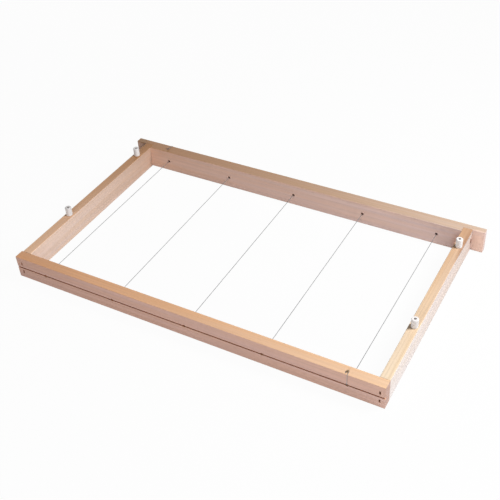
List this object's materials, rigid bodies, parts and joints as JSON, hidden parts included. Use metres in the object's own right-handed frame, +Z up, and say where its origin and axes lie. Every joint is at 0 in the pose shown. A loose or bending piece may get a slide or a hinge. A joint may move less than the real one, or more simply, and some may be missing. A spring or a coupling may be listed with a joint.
{
  "type": "comb frame",
  "caption": "Flat rectangular wooden comb frame with short ears, a taut zigzag steel wire through drilled bars and nailed white spacer tubes; hangs by its ears in a hive box.",
  "frame": {"origin": "under the middle of the frame, on the surface that it lies on", "axes": "+X along the bars, +Y from the bottom bar to the top bar, +Z up through the frame's thickness"},
  "size_m": [0.389, 0.223, 0.0325],
  "materials": {
    "limewood": "planed, bare",
    "spacer_plastic": "moulded",
    "wire_steel": "drawn wire",
    "staple_steel": "galvanised",
    "nail_steel": "bright"
  },
  "bodies": {
    "root": {"top_bar": "limewood", "bottom_bar": "limewood", "left_side_bar": "limewood", "right_side_bar": "limewood", "left_rear_spacer": "spacer_plastic", "left_front_spacer": "spacer_plastic", "right_rear_spacer": "spacer_plastic", "right_front_spacer": "spacer_plastic", "left_rear_spacer_nail": "nail_steel", "left_front_spacer_nail": "nail_steel", "right_rear_spacer_nail": "nail_steel", "right_front_spacer_nail": "nail_steel", "left_front_staple": "staple_steel", "left_rear_staple": "staple_steel", "right_front_staple": "staple_steel", "right_rear_staple": "staple_steel", "first_wire_tack": "nail_steel", "last_wire_tack": "nail_steel", "comb_wire": "wire_steel"}
  },
  "joints": []
}
